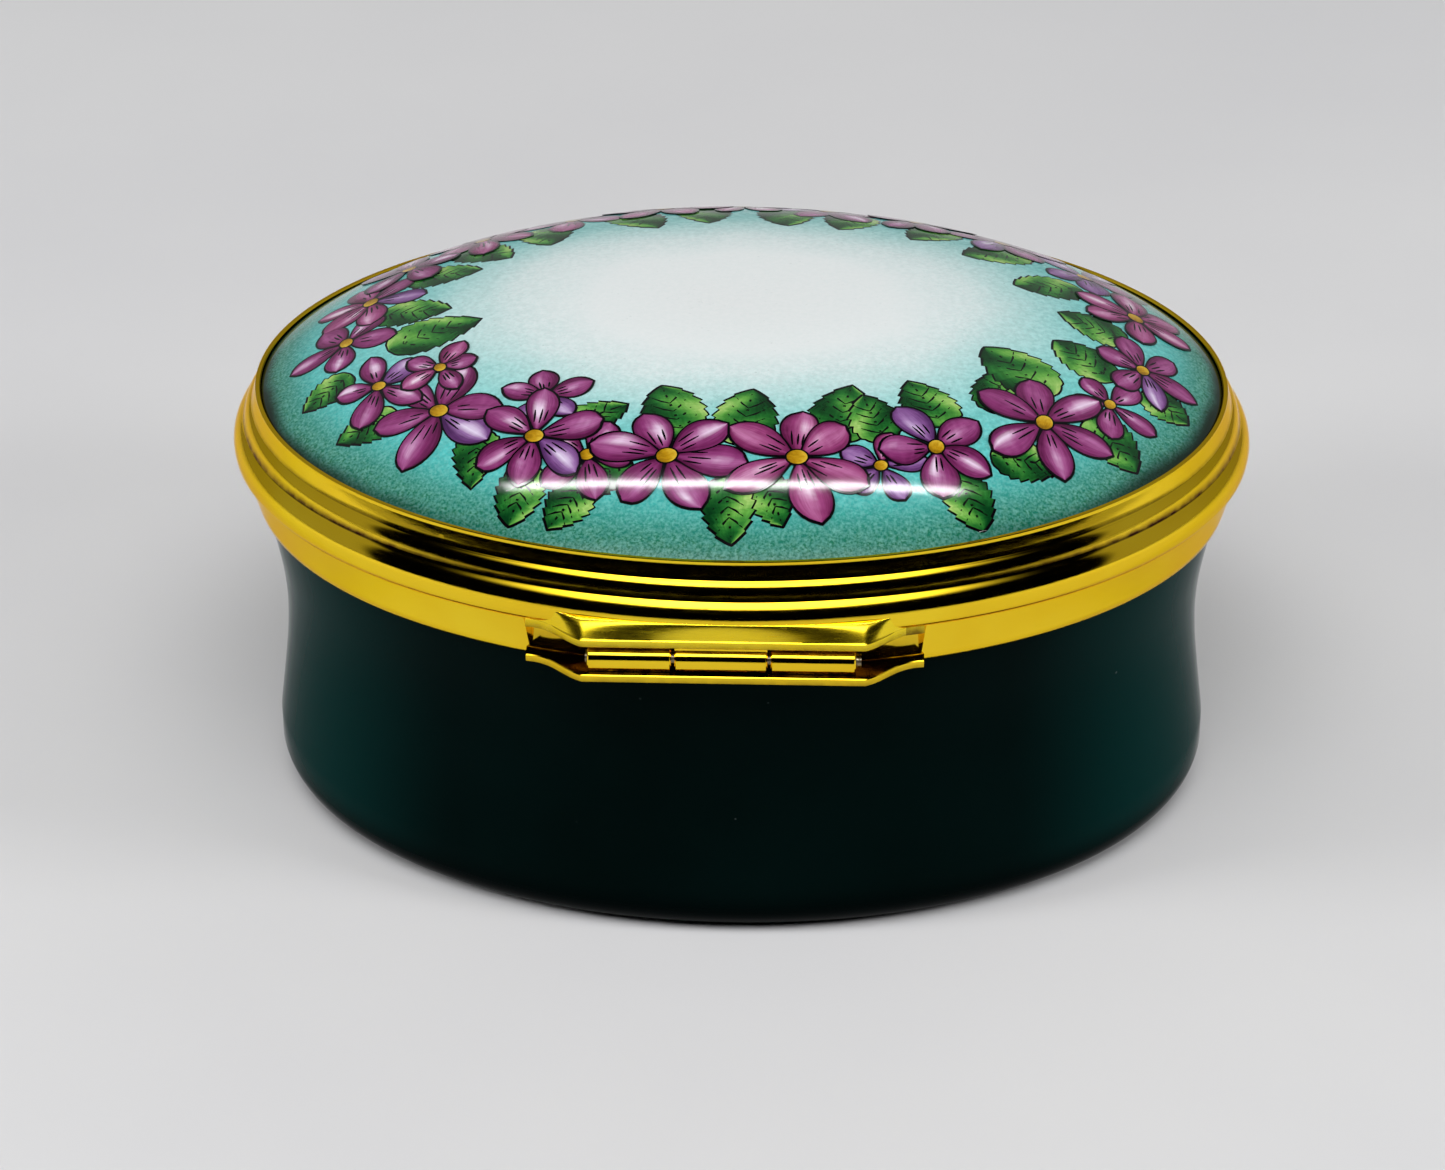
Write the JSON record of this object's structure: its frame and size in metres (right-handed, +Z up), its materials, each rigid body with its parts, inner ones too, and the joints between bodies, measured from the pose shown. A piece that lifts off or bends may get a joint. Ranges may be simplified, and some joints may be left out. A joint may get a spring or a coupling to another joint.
{
  "type": "pill box",
  "caption": "Small oval enamelled pill box with a domed hinged lid in gilt mounts",
  "frame": {"origin": "Centre of the flat underside, on the surface the box stands on", "axes": "X along the oval's long axis, -Y towards the hinge, +Y towards the catch side, Z up through the lid"},
  "size_m": [0.054, 0.0435, 0.0273],
  "materials": {
    "dark_enamel": "glossy",
    "turquoise_enamel": "glossy",
    "white_enamel": "glossy",
    "copper_core": "matte",
    "gilt_brass": "polished",
    "pin_steel": "polished",
    "bedding": "matte"
  },
  "bodies": {
    "base": {"base_outer_enamel": "dark_enamel", "base_copper_bowl": "copper_core", "base_inner_enamel": "white_enamel", "base_bedding_ring": "bedding", "base_bezel": "gilt_brass", "base_collar": "gilt_brass", "base_catch_bead": "gilt_brass", "base_hinge_leaf": "gilt_brass", "base_knuckle_left": "gilt_brass", "base_knuckle_right": "gilt_brass", "hinge_pin": "pin_steel"},
    "lid": {"lid_outer_enamel": "turquoise_enamel", "lid_copper_dome": "copper_core", "lid_inner_enamel": "white_enamel", "lid_bedding_ring": "bedding", "lid_seat_ring": "gilt_brass", "lid_bezel": "gilt_brass", "lid_hinge_leaf": "gilt_brass", "lid_knuckle_middle": "gilt_brass", "lid_thumb_lip": "gilt_brass"}
  },
  "joints": [
    {"name": "lid_hinge", "type": "hinge", "parent": "base", "child": "lid", "pos_m": [0, -0.0209, 0.01756], "axis": [1, 0, 0], "range_deg": [0, 95]}
  ]
}
